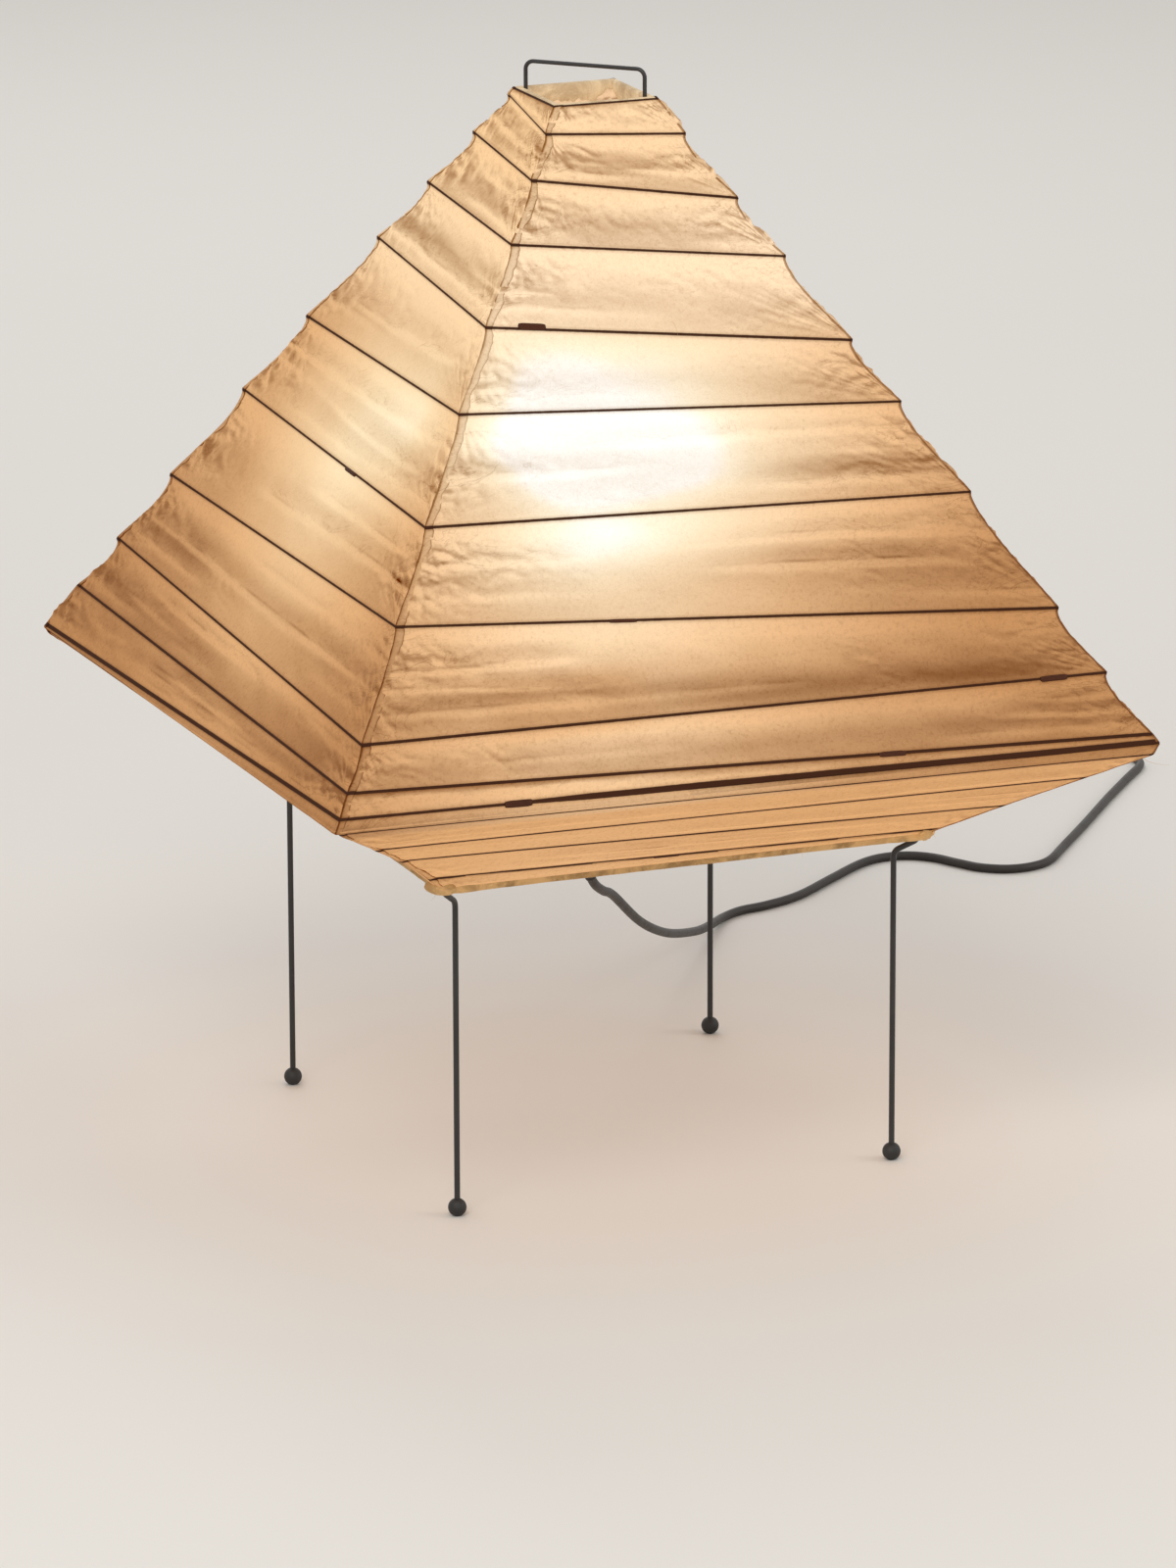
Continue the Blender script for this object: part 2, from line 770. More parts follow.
@dataclass(frozen=True)
class Sheath:
    """Round plastic cord: nearly black, with a slow waviness and dust."""

    name: str = "cord_sheath"
    colour: Colour = (0.014, 0.010, 0.008)
    dusty: Colour = (0.05, 0.042, 0.036)

    def make(self) -> Material:
        """Build the material: waves along the cord under dust.

        Returns:
            The finished material.
        """
        g, here = canvas(self.name)
        dust = g.noise(here, 110, 5, 0.65).between(0.45, 0.8)
        wave = g.noise(g.add("CombineXYZ", None, {0: g.attribute("along"), 1: 0.0, 2: 0.0}), 140, 3, 0.6)
        fine = g.noise(here, 1500, 2)
        colour = g.blend(dust * 0.5 + fine * 0.1, self.colour, self.dusty)
        return g.surface(Base_Color=colour, Roughness=0.46 + dust * 0.2 + wave * 0.06,
                         Normal=g.bump(wave * 0.7 + fine * 0.3, 0.0001, 0.6))


@dataclass
class Studio:
    """Camera, floor and light. Angles in degrees, sizes in metres."""

    azimuth: float = -22.08
    elevation: float = 15.4
    roll: float = -0.16
    focal: float = 8714.6
    sensor: float = 36.0
    distance: float = 4.10735
    target: Colour = (0.00043, -0.00019, 0.16996)
    floor_colour: Colour = (0.80, 0.775, 0.74)
    floor_half: float = 9.0
    lit: float = 0.25  # height that the lamps look at
    lamps: tuple[tuple[Any, ...], ...] = (  # name, place, side, power in watts, colour
        ("key", (-1.6, -2.2, 2.4), 1.8, 46.0, (1.0, 0.98, 0.95)),
        ("side", (2.4, -1.2, 1.5), 1.6, 16.0, (1.0, 0.98, 0.95)),
        ("rear", (0.6, 2.6, 2.2), 1.8, 18.0, (0.98, 0.98, 1.0)))

    def hang(self, name: str, data: bpy.types.ID, axes: Sequence[Array], place: Sequence[float]) -> Piece:
        """Put a camera or a light into the scene.

        Args:
            name: the object's name.
            data: the camera or the light.
            axes: its right, upward and backward directions.
            place: where it hangs.

        Returns:
            The object.
        """
        thing = bpy.data.objects.new(name, data)
        thing.matrix_world = Matrix([[*(axis[k] for axis in axes), place[k]] for k in range(3)] + [[0, 0, 0, 1]])
        bpy.context.scene.collection.objects.link(thing)
        return thing

    def camera(self) -> None:
        """Stand the camera where the photograph was taken from, and make it the scene's."""
        az, el, roll = (math.radians(v) for v in (self.azimuth, self.elevation, self.roll))
        back = np.array([math.sin(az) * math.cos(el), -math.cos(az) * math.cos(el), math.sin(el)])
        right = unit(np.cross(-back, [0.0, 0.0, 1.0]))
        up = np.cross(right, -back)
        x = math.cos(roll) * right + math.sin(roll) * up
        y = -math.sin(roll) * right + math.cos(roll) * up
        data = bpy.data.cameras.new("camera")
        data.sensor_width = self.sensor
        data.sensor_fit = "AUTO"
        data.lens = self.focal * self.sensor / max(IMAGE)
        data.clip_start, data.clip_end = 0.05, 60.0
        place = np.asarray(self.target) + back * self.distance
        bpy.context.scene.camera = self.hang("camera", data, (x, y, back), place)

    def floor(self) -> None:
        """Lay the pale floor."""
        g, here = canvas("pale_floor")
        darker = tuple(c * 0.94 for c in self.floor_colour)
        colour = g.blend(g.noise(here, 3.0, 4, 0.6) * 0.3, self.floor_colour, darker)
        g.surface(Base_Color=colour, Roughness=0.85, Normal=g.bump(g.noise(here, 500, 3), 0.00008, 0.4))
        mesh = bpy.data.meshes.new("floor")
        h = self.floor_half
        mesh.from_pydata([(-h, -h, 0), (h, -h, 0), (h, h, 0), (-h, h, 0)], [], [(0, 1, 2, 3)])
        mesh.materials.append(g.owner)
        floor = bpy.data.objects.new("floor", mesh)
        bpy.context.scene.collection.objects.link(floor)

    def light(self) -> None:
        """Set the world, brighter where it is seen than where it only lights, and hang the soft square lamps."""
        bpy.context.scene.world = bpy.data.worlds.new("studio")
        g = Graph(bpy.context.scene.world)
        rays = [g.add("LightPath", out=f"Is {kind} Ray") for kind in ("Camera", "Glossy", "Transmission")]
        seen = g.add("Background", None, {"Color": (0.86, 0.84, 0.81)})
        fill = g.add("Background", None, {"Color": (1.0, 0.985, 0.96), "Strength": 0.56})
        mix = g.add("MixShader", None, {0: rays[0].most(rays[1]).most(rays[2]), 1: fill, 2: seen})
        g.add("OutputWorld", None, {"Surface": mix})
        for name, place, size, power, colour in self.lamps:
            data = bpy.data.lights.new(name, "AREA")
            data.size, data.energy, data.color = size, power, colour
            back = unit(np.asarray(place, float) - np.array([0.0, 0.0, self.lit]))
            right = unit(np.cross([0.0, 0.0, 1.0], back))
            self.hang(name, data, (right, np.cross(back, right), back), place)

    def build(self) -> None:
        """Make the camera, the floor and the light."""
        bpy.context.scene.view_settings.view_transform = "Standard"
        self.camera()
        self.floor()
        self.light()


@dataclass
class Flex:
    """The mains cord, in one length from the grip through the switch and the coil to the plug, in millimetres."""

    diameter: float = 4.6
    clear: float = 0.1
    heading: float = 200.0
    switch_at: tuple[float, float] = (462.0, 503.0)
    switch_l: float = 58.0
    entry_z: float = 7.0
    link: float = 34.0
    turns: float = 4.25
    coil_r: float = 33.0
    coil_gap: float = 0.6
    coil_step: float = 15.0
    tail: float = 30.0
    plug_z: float = 7.0
    groove: float = 3.2
    sides: int = 16
    at_grip: tuple[float, float] = (4.8, 2.75)  # radii of a sleeve's two ends
    at_switch: tuple[float, float] = (4.2, 2.6)
    tie_half: float = 1.4
    tie_wall: float = 0.25
    twist: float = 13.0
    wander: tuple[tuple[float, ...], ...] = (
        (0, 0, 148.3), (0, 0, 139.4), (1, 1.5, 130.4), (3.5, 5.3, 123), (7.4, 11.3, 117.6), (13.3, 20.3, 111.8),
        (22.8, 34.7, 104.6), (35.9, 54.6, 95.6), (74.4, 113.2, 62.1), (114.2, 174.2, 35.1), (155.7, 236.7, 14.2),
        (177.3, 267.7, 6.6), (193.8, 289.8, 2.9), (208.5, 300.2, 2.4), (226.7, 304.8, 2.4), (248.8, 315.1, 2.4),
        (276.9, 337.5, 2.4), (302.9, 357.9, 2.4), (318.8, 364.7, 2.4), (333.3, 363.2, 2.4), (344.6, 353.9, 2.4),
        (351.8, 340.1, 2.4), (360.1, 326.4, 2.4), (372.8, 318.3, 2.4), (387.4, 318.4, 2.4), (400.5, 326, 2.4),
        (417.2, 345.8, 2.4), (450, 385.6, 2.4), (482, 425.5, 2.4), (507.8, 456.4, 2.4), (518.6, 468.9, 2.4),
        (527.1, 479, 2.4), (531.8, 488.2, 2.4), (532.3, 498.6, 2.6), (528.3, 508.1, 3.3), (520.7, 515, 4.4),
        (510.9, 518, 5.8), (500.5, 516.9, 6.8))

    def along(self, start: Array, ahead: Any, aside: Any, z: Any) -> Array:
        """Points at a distance ahead of and beside a start, along the switch's heading.

        Args:
            start: x and y of the start.
            ahead: distance along the heading.
            aside: distance to its left.
            z: height.

        Returns:
            The points, n by 3.
        """
        offsets = np.stack(np.broadcast_arrays(*(np.atleast_1d(np.asarray(v, float)) for v in (ahead, aside, z))), 1)
        return offsets @ spin(self.heading) + np.array([start[0], start[1], 0.0])

    def route(self) -> Array:
        """The whole route: the wander over the floor, the switch, and two layers of coil, one on the other.

        Returns:
            Points of the cord's middle line, in metres.
        """
        z, pitch = self.diameter / 2 + self.clear, self.diameter + self.coil_gap
        half = self.switch_l / 2
        lead = np.vstack([np.array(self.wander, float), self.along(self.switch_at, -half, 0, self.entry_z)])
        out = self.along(self.switch_at, half, 0, self.entry_z)[0]
        inside = self.along(self.switch_at, np.linspace(-half + 6, half - 6, 7), 0, self.entry_z)
        link = self.along(out, [0, 7, 14, 21, 28], 0, self.entry_z - np.array([0, 0.3, 1.7, 3.3, 4.4]))
        start = self.along(out, self.link, 0, z)[0]
        centre = self.along(start, 0, -self.coil_r, z)[0]
        angle = np.arange(0, 360 * self.turns + 1e-6, self.coil_step)
        mid = 180 * self.turns
        reach = self.coil_r - pitch * self.turns / 2 + pitch * np.abs(angle - mid) / 360
        climb = np.clip((angle - mid) / 180 + 0.5, 0, 1)
        rad = np.radians(angle)
        rise = z + pitch * (1 - np.cos(math.pi * climb)) / 2
        coil = self.along(centre, reach * np.sin(rad), reach * np.cos(rad), rise)
        end = coil[-1]
        tail = self.along(end, 0, [-6, -14, -24, -self.tail], [end[2], end[2], self.plug_z, self.plug_z])
        return np.vstack([smooth_line(lead, 6), inside, smooth_line(np.vstack([link, coil, tail]), 4)]) * MM

    def relief(self, name: str, path: Array, start: float, end: float, material: Material) -> Piece:
        """A tapered sleeve on the cord: its radius falls from start to end, with a groove every few millimetres.

        Args:
            name: the piece's name.
            path: the stretch of cord that it covers, from the housing outwards, in metres.
            start: radius at the housing, in millimetres.
            end: radius at the thin end.
            material: its finish.

        Returns:
            The piece.
        """
        step = 0.4
        line = resample(path, step * MM)
        share = np.linspace(0, 1, len(line))
        ribs = 0.5 + 0.5 * np.cos(2 * math.pi * share * len(line) * step / self.groove)
        radius = start + (end - start) * share**0.85 - 0.5 * (1 - ribs**0.3) * (share > 0.12) * (share < 0.93)
        radius[-3:] *= np.array([0.985, 0.95, 0.9])
        points, faces, _ = tube(line, radius * MM, 28)
        return publish(name, points, faces, material, Body.BASE, "cord_pvc")

    def tie(self, material: Material) -> Piece:
        """The twist tie that holds the coil: a flat band round its turns, and two ends twisted together beside it.

        Args:
            material: its finish.

        Returns:
            The piece.
        """
        out = self.along(self.switch_at, self.switch_l / 2 + self.link, -self.coil_r, 0)[0]
        away = unit(self.along((0, 0), -0.35, -1.0, 0)[0])
        side = np.array([-away[1], away[0], 0.0])
        d = self.diameter
        inner, outer, top = self.coil_r - d * 3.24, self.coil_r + d * 0.62, 2 * d + 1.6
        corner = np.array([[inner, 0.4], [inner, top * 0.5], [inner + 1, top - 0.8], [inner + 3, top],
                           [outer - 3, top], [outer - 1, top - 0.8], [outer, top * 0.5], [outer, 0.4],
                           [outer - 2, 0.28], [inner + 2, 0.28]])
        ring = smooth_line(np.column_stack([corner[:, :1] * away[:2] + out[:2], corner[:, 1]]), 4, closed=True)
        flat = unit(ring - ring.mean(0))
        section = [(-self.tie_half, 0.0), (-self.tie_half, self.tie_wall), (self.tie_half, self.tie_wall),
                   (self.tie_half, 0.0)]
        band = np.stack([ring + side * s + flat * h for s, h in section], 1)
        band[..., 2] = np.maximum(band[..., 2], 0.02)
        parts = [(band.reshape(-1, 3) * MM, [lattice(len(ring), 4, wrap_rows=True, wrap_columns=True)])]
        root = out + away * outer + np.array([0, 0, top * 0.5])
        t = np.linspace(0, 1, 60)[:, None]
        for turn in (0.0, math.pi):
            swing = 8 * t * math.pi + turn
            lift = np.array([0, 0, 1]) * (0.75 * np.cos(swing) + 2 * t)
            path = root + away * self.twist * t + side * 0.75 * np.sin(swing) + lift
            parts.append(tube(path * MM, 0.6 * MM, 8)[:2])
        return publish("coil_tie", *joined(parts), material, Body.BASE, "cord_pvc")

    def build(self, sheath: Material, plastic: Material) -> Array:
        """Args:
            sheath: the cord's finish.
            plastic: the finish of the sleeves.

        Returns:
            The route, in metres.
        """
        route = resample(self.route(), CORD_STEP)
        points, faces, along = tube(route, self.diameter / 2 * MM, self.sides)
        cord = publish("cord", points, faces, sheath, Body.BASE, "cord_pvc", {"along": along})
        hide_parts("cord_lead", "cord_link", "cord_coil", "cord_tail")
        middle = np.append(np.asarray(self.switch_at), self.entry_z) * MM
        nearest = int(np.linalg.norm(route - middle, axis=1).argmin())
        half = int(round(self.switch_l / 2 * MM / CORD_STEP))
        before, beyond = nearest - half, nearest + half
        grip = self.relief("grip_sleeve", route[:16], *self.at_grip, plastic)
        arriving = self.relief("switch_sleeve_in", route[before - 11:before + 2][::-1], *self.at_switch, plastic)
        leaving = self.relief("switch_sleeve_out", route[beyond - 1:beyond + 10], *self.at_switch, plastic)
        self.tie(plastic)
        return route


@dataclass
class Lie:
    """Where the points of a sheet lie between the turns of the strip. Arrays of one shape, in millimetres."""

    x: Array  # across the face, from its middle
    down: Array  # down the paper
    band: Array  # number of the turn above
    share: Array  # share of the way to the turn below
    tall: Array  # height of the band between both
    near: Array  # distance to the near ridge
    far: Array  # distance to the far ridge


@dataclass
class Shade:
    """Four faces of creased paper over the strip, with their laps and hems. Sizes in millimetres."""

    width: float = 410.0
    top_w: float = 51.4
    top_z: float = 507.5
    rim_z: float = 220.0
    rim_band: float = 6.5
    rim_step: float = 2.0
    belly: float = 3.0
    dip: float = 3.0
    bow: float = 0.15
    paper: float = 0.4
    inset: float = 1.55
    edge_half: float = 123.13
    edge_z: float = 164.0
    lap: float = 3.4
    columns: int = 138
    row_gap: float = 1.35
    lap_rows: int = 520
    lap_columns: int = 9
    hairs: int = 90
    hair_r: float = 0.09
    ridges: tuple[tuple[float, ...], ...] = (  # places where the strip crosses each ridge
        (0, 1.2, 8, 17, 27, 41.5, 55, 71, 83, 92, 99.5, 170, 225, 252, 280),
        (0, 4, 10.5, 19.5, 31, 43, 58.5, 72, 88, 94.5, 98, 200, 236, 259, 288),
        (0, 5.5, 15.5, 24.5, 37.5, 47, 61, 79, 89, 98.6, 99.8, 200, 230, 266, 294),
        (0, 7, 16, 26, 39.5, 51, 66, 81, 90.5, 99, 150, 215, 245, 273, 298))
    lifts: tuple[float, ...] = (4.0, 6.0, 1.0, 4.0)  # how far each ridge's lower corner is drawn up
    # Splices of the strip, as a crossing's number and a share of the way to the next, and their marks' sizes.
    splices: tuple[float, ...] = (13.12, 20.61, 25.335, 29.93, 33.67, 37.21, 53.46)
    mark_half: tuple[float, ...] = (1.75, 1.0, 0.85, 1.4, 1.5, 1.7, 1.0)
    mark_rise: tuple[float, ...] = (0.9, -0.35, -0.35, -0.35, -0.35, -0.35, -0.35)
    mark_long: float = 6.9
    dipped: tuple[int, int] = (1, 8)  # first and last band that dips on a ridge
    long_folds: tuple[tuple[float, float], ...] = ((0.30, 0.16), (0.55, 0.20), (0.76, 0.12))  # middle and sway
    nodes: tuple[str, ...] = ("paper_left", "paper_front", "paper_right", "paper_back")
    papers: dict[Side, Array] = field(default_factory=dict)
    starts: dict[Side, dict[str, Array]] = field(default_factory=dict)

    def rise(self) -> float:
        """Height from the widest edge to the top."""
        return self.top_z - self.rim_z

    def run(self) -> float:
        """Distance outwards from the top to the widest edge."""
        return (self.width - self.top_w) / 2

    def staged(self, w: Array, slope: Any, band: Any, under: Any) -> Array:
        """At place w, the value for the slope, for the band round the rim or for the paper under it."""
        return np.where(w <= RIM, slope, np.where(w <= UNDER, band, under))

    def half(self, w: Array) -> Array:
        """Half width: a swollen slope, an upright band, then in to the lower edge.

        Args:
            w: places down the paper.

        Returns:
            Half widths.
        """
        start = self.width / 2 - self.rim_step
        return self.staged(w, self.top_w / 2 + self.run() * w / 100 + self.belly * np.sin(np.radians(1.8 * w)),
                           self.width / 2 - self.rim_step * (w - RIM) / 100,
                           start + (self.edge_half - start) * (w - UNDER) / 100)

    def level(self, ridge: int, w: Array) -> Array:
        """Height on a ridge, with that ridge's lower corner drawn up.

        Args:
            ridge: number of the ridge.
            w: places down the paper.

        Returns:
            Heights.
        """
        lift, start = self.lifts[ridge], self.rim_z - self.rim_band
        up = self.staged(w, 0.0, lift * (0.3 + 0.007 * (w - RIM)), lift * (1 - ((w - UNDER) / 100) ** 4))
        return up + self.staged(w, self.top_z - self.rise() * w / 100, self.rim_z - self.rim_band * (w - RIM) / 100,
                                start + (self.edge_z - start) * (w - UNDER) / 100)

    def normal(self, w: Array) -> Array:
        """Outward direction, turned smoothly at the folds.

        Args:
            w: places down the paper.

        Returns:
            Its share outwards and its share upwards, last.
        """
        steep = np.array([self.rise(), self.run()]) / math.hypot(self.rise(), self.run())
        drop = np.array([self.rim_z - self.rim_band - self.edge_z, self.edge_half - self.width / 2 + self.rim_step])
        drop = drop / np.linalg.norm(drop)
        first = np.clip((w - RIM + 1) / 2, 0, 1)[..., None]
        second = np.clip((w - UNDER + 2) / 3, 0, 1)[..., None]
        flat = steep * (1 - first) + np.array([1.0, 0.0]) * first
        return unit(flat * (1 - second) + drop * second)

    def distance(self, w: Array) -> Array:
        """Distance down the paper from the top edge.

        Args:
            w: places down the paper.

        Returns:
            Distances.
        """
        slope = math.hypot(self.rise(), self.run())
        band = math.hypot(self.rim_band, self.rim_step)
        under = math.hypot(self.width / 2 - self.rim_step - self.edge_half, self.rim_z - self.rim_band - self.edge_z)
        return (slope * np.clip(w, 0, 100) + band * np.clip(w - RIM, 0, 100)
                + under * np.clip(w - UNDER, 0, 100)) / 100

    def depth(self, ridge: int, w: Array) -> Array:
        """Depth of the paper's dip on a ridge: a lopsided arch, deepest a third of the way down a band.

        Args:
            ridge: number of the ridge.
            w: places down the paper.

        Returns:
            Depths.
        """
        marks = np.array(self.ridges[ridge], float)
        turn = np.interp(w, marks, np.arange(len(marks)))
        band = np.clip(np.floor(turn).astype(int), 0, len(marks) - 2)
        tall = (marks[band + 1] - marks[band]) * self.rise() / 100
        inside = (band >= self.dipped[0]) & (band <= self.dipped[1]) & (w < RIM)
        arch = np.sin(math.pi * np.clip(turn - band, 0, 1) ** 0.6)
        return np.where(inside, self.dip * np.minimum(1, tall / 25) * arch, 0.0)

    def marks(self, side: Side) -> tuple[Array, Array]:
        """Where the strip's turns cross the two ridges of a face, from the top edge to the lower one.

        Args:
            side: the face.

        Returns:
            Places on the near ridge and on the far one, turn by turn.
        """
        near = np.array(self.ridges[side] + (EDGE,), float)
        far = np.array(self.ridges[(side + 1) % 4] + (EDGE,), float)
        if side is Side.BACK:
            far = np.concatenate([[0.0], far[2:], [EDGE + 6]])
        return near, far

    def rows(self, side: Side) -> tuple[Array, Array]:
        """Rows of a face: along the turns of the strip on the slope, then level rows round the rim and under it.

        Args:
            side: the face.

        Returns:
            Places on the near ridge and on the far one, one for each row.
        """
        near, far = self.marks(side)
        last = 10 if side in (Side.LEFT, Side.FRONT) else 9
        per_place = 3.39  # millimetres of slope
        turns = []
        for k in range(last):
            tall = max(near[k + 1] - near[k], far[k + 1] - far[k]) * per_place
            turns.append(k + np.arange(0, 1, 1 / max(3, int(round(tall / self.row_gap)))))
        t = np.concatenate(turns + [[float(last)]])
        tail = np.concatenate([np.linspace(RIM, UNDER, 7), np.linspace(UNDER, EDGE, 70)[1:]])
        return tuple(np.concatenate([np.interp(t, np.arange(len(near)), m), tail]) for m in (near, far))

    def crumple(self, side: Side, lie: Lie) -> tuple[Array, Array, Array, Array]:
        """Folds and creases of a face, from smooth random heights that change from band to band.

        Long folds run along the strip: each is soft above a wandering line and sharp below it. Creases are the lines
        where a warped random height is 0, dense near the ridges. Fans of folds spread from the strip's crossings.

        Args:
            side: the face.
            lie: where its points lie.

        Returns:
            How far the paper is pushed in, how creased it is, its pleats and its sunk shading.
        """
        waves, folds, jags, fans, where = (Grain(40 + 10 * int(side) + k) for k in range(5))
        x, down, tall, share, shift = lie.x, lie.down, lie.tall, lie.share, lie.band * 7.3
        wave = waves(x / 62 + shift, down / 21) + waves(x / 17 + 9, down / 11 + shift) * 0.4
        fold, pleat = np.zeros_like(x), np.zeros_like(x)
        for number, (centre, sway) in enumerate(self.long_folds):
            middle = centre + sway * folds(x / 230 + 13 * number + shift, 0.5 + 3 * number)
            strength = np.clip(folds(x / 150 + 29 * number + shift, 7.5) * 3.4 + 0.45, 0, 1)
            gap = (share - middle) * tall + 0.9 * jags(x / 26, number + 0.5 + shift) + 0.25 * jags(x / 3.9, 9.5 + shift)
            fold = np.maximum(fold, strength * np.exp(-(gap / np.where(gap < 0, 7.0, 2.6)) ** 2))
            shown = np.clip(0.35 + 1.8 * where(x / 31, 3.5 + shift), 0, 1)
            pleat = np.maximum(pleat, strength * np.exp(-(gap / 0.7) ** 2) * shown)
        reach = np.minimum(lie.near, lie.far)
        patch = np.clip(where(x / 48 + 4, down / 26) * 2.6 - 0.35, 0, 1)
        zone = 1.2 * np.exp(-reach / 21) * (0.75 + 1.1 * where(down / 17 + 9, 0.5 + shift)) + 0.3 * patch
        zone = np.clip(zone, 0, 1)
        warp = folds(x / 22, down / 14 + shift) * 5
        crumple = jags.ridges((x + warp) / 15, (down - warp) / 7.5 + shift, 2.5)
        crumple = crumple + 0.45 * jags.ridges((x - warp) / 6.5 + 7, (down + warp) / 4 + shift, 2.5)
        below = np.minimum((1 - share) * tall, share * tall * 1.4)
        bearing, radius = np.arctan2(below, reach + 0.5), np.hypot(below, reach)
        fan = fans.ridges(bearing * 5.2 + shift + np.where(lie.near < lie.far, 0, 19), radius / 85, 2.6)
        fan = fan * np.exp(-radius / 21) * np.clip(radius / 4, 0, 1)
        slack = (lie.band == 7) if side is Side.FRONT else np.zeros_like(x)
        sunk = np.exp(-((share - 0.62 - 0.22 * slack + 0.16 * folds(x / 190 + shift, 4.5)) / 0.15) ** 2)
        sunk = sunk * np.clip((tall - 14) / 30, 0, 1) * np.clip(0.75 + 1.5 * where(x / 120 + shift, 2.5), 0, 1.3)
        sunk = sunk * (0.15 + 0.19 * slack * np.clip(reach / 40, 0, 1))
        push = wave * 0.8 - fold * 1.7 - zone * crumple * 1.5 - fan * 0.8
        return push, np.clip(zone * 1.1 + fold * 0.5, 0, 1), pleat, sunk

    def strip_width(self, side: Side, turn: Array, place: Array, f: Array) -> Array:
        """Half width of the strip's line on the paper, wider where two turns lie together, less than 0 for none.

        Args:
            side: the face.
            turn: number of the turn, with its share of the way to the next.
            place: places down the paper.
            f: share of the way along the face.

        Returns:
            Half widths.
        """
        line = np.where(place > UNDER - 10, 1.0, 0.62)
        if side is Side.FRONT:
            line = np.where(np.round(turn) == 10, 0.75 + 0.75 * np.clip((f - 0.2) / 0.1, 0, 1), line)
            line = np.where(np.round(turn) == 9, 0.8, line)
        if side is Side.LEFT:
            line = np.where(np.round(turn) == 10, 0.95, line)
        last = 13.6 if side in (Side.RIGHT, Side.BACK) else 14.6
        return np.where((turn > 0.4) & (turn < last), line, np.where(turn < 0.4, 1.1, -4.0))

    def sheet(self, side: Side) -> dict[str, Array]:
        """Points of one face and the numbers that its finish reads.

        The point at share f along a row lies on the straight line between the two ridges. It is pushed in by the
        dip and by the crumpling, which fades at the strip and at the ridges.

        Args:
            side: the face.

        Returns:
            Grids by name: outer and inner points, turn, pitch, line, crease and relief.
        """
        wa, wb = (w[:, None] for w in self.rows(side))
        even = np.linspace(0, 1, self.columns)
        f = (0.35 * even + 0.65 * (0.5 - 0.5 * np.cos(math.pi * even)))[None, :]
        place = wa + (wb - wa) * f
        other = (side + 1) % 4
        da, db = self.depth(side, wa), self.depth(other, wb)
        na, nb = self.normal(wa), self.normal(wb)
        ha, za = self.half(wa) - da * na[..., 0], self.level(side, wa) - da * na[..., 1]
        hb, zb = self.half(wb) - db * nb[..., 0], self.level(other, wb) - db * nb[..., 1]
        bow = self.bow * (da + db) * (1 - (2 * f - 1) ** 4)
        x, out, z = -ha + (ha + hb) * f, ha + (hb - ha) * f - bow, za + (zb - za) * f
        down = self.distance(wa) + (self.distance(wb) - self.distance(wa)) * f
        near, far = (self.distance(m) for m in self.marks(side))
        lines = near[:, None, None] + (far - near)[:, None, None] * f[None]
        gaps = np.maximum(np.diff(lines, axis=0), 0.05)
        turn = np.clip((down[None] - lines[:-1]) / gaps, 0, 1).sum(0)
        gaps = np.broadcast_to(gaps, (len(gaps), *turn.shape))
        band = np.clip(np.floor(turn).astype(int), 0, len(gaps) - 1)
        beside = np.clip(np.round(turn).astype(int) - (turn < np.round(turn)), 0, len(gaps) - 1)
        tall, pitch = (np.take_along_axis(gaps, k[None], 0)[0] for k in (band, beside))
        share = np.clip(turn - band, 0, 1)
        free = np.sin(math.pi * share) ** 0.7 * np.clip(tall / 14, 0, 1)
        slope = place < RIM - 0.5

        lie = Lie(x, down, band, share, tall, x + ha, hb - x)
        push, crease, pleat, sunk = self.crumple(side, lie)
        push = push * free * np.where(slope, 1.0, 0.35)
        crease = crease * np.where(slope, 1, 0.5)
        tilt = np.gradient(da + (db - da) * f + bow + push, axis=0) / np.maximum(np.gradient(down, axis=0), 0.4)
        lean = np.gradient(push, axis=1) / np.maximum(np.gradient(x, axis=1), 0.4)
        relief = np.clip(0.95 * tilt - 0.60 * lean, -0.42, 0.12) - 0.46 * pleat * free - sunk * slope
        n = np.broadcast_to(self.normal(place), (*place.shape, 2))
        push = push * np.clip(np.minimum(lie.near, lie.far) / 3, 0, 1)
        y, z = -(out - push * n[..., 0]), z - push * n[..., 1]
        inner = [x * (1 - self.paper / np.maximum(out, 1)), y + self.paper * n[..., 0], z - self.paper * n[..., 1]]
        return {"outer": np.stack([x, y, z], -1), "inner": np.stack(inner, -1), "turn": turn, "pitch": pitch,
                "line": self.strip_width(side, turn, place, f), "crease": crease, "relief": relief}

    def turned(self, points: Array, side: Side) -> Array:
        """Points of the front face turned to another face."""
        return points @ spin(90 * (int(side) - 1))

    def face(self, side: Side, material: Material) -> None:
        """One sheet of paper: its outer and inner grids, joined round their edges.

        Args:
            side: the face.
            material: its finish.
        """
        grids = self.sheet(side)
        points = np.concatenate([grids["outer"].reshape(-1, 3), grids["inner"].reshape(-1, 3)])
        numbers = {k: np.tile(grids[k].ravel(), 2) for k in ("turn", "pitch", "line", "crease", "relief")}
        self.papers[side] = self.turned(grids["outer"], side)
        self.starts[side] = {k: grids[k][:, 3] for k in ("turn", "pitch", "line")}
        piece = publish(f"face_{side.name.lower()}", self.turned(points, side) * MM, leaf_faces(*grids["turn"].shape),
                        material, Body.SHADE, "paper", numbers)
        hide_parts(self.nodes[side])

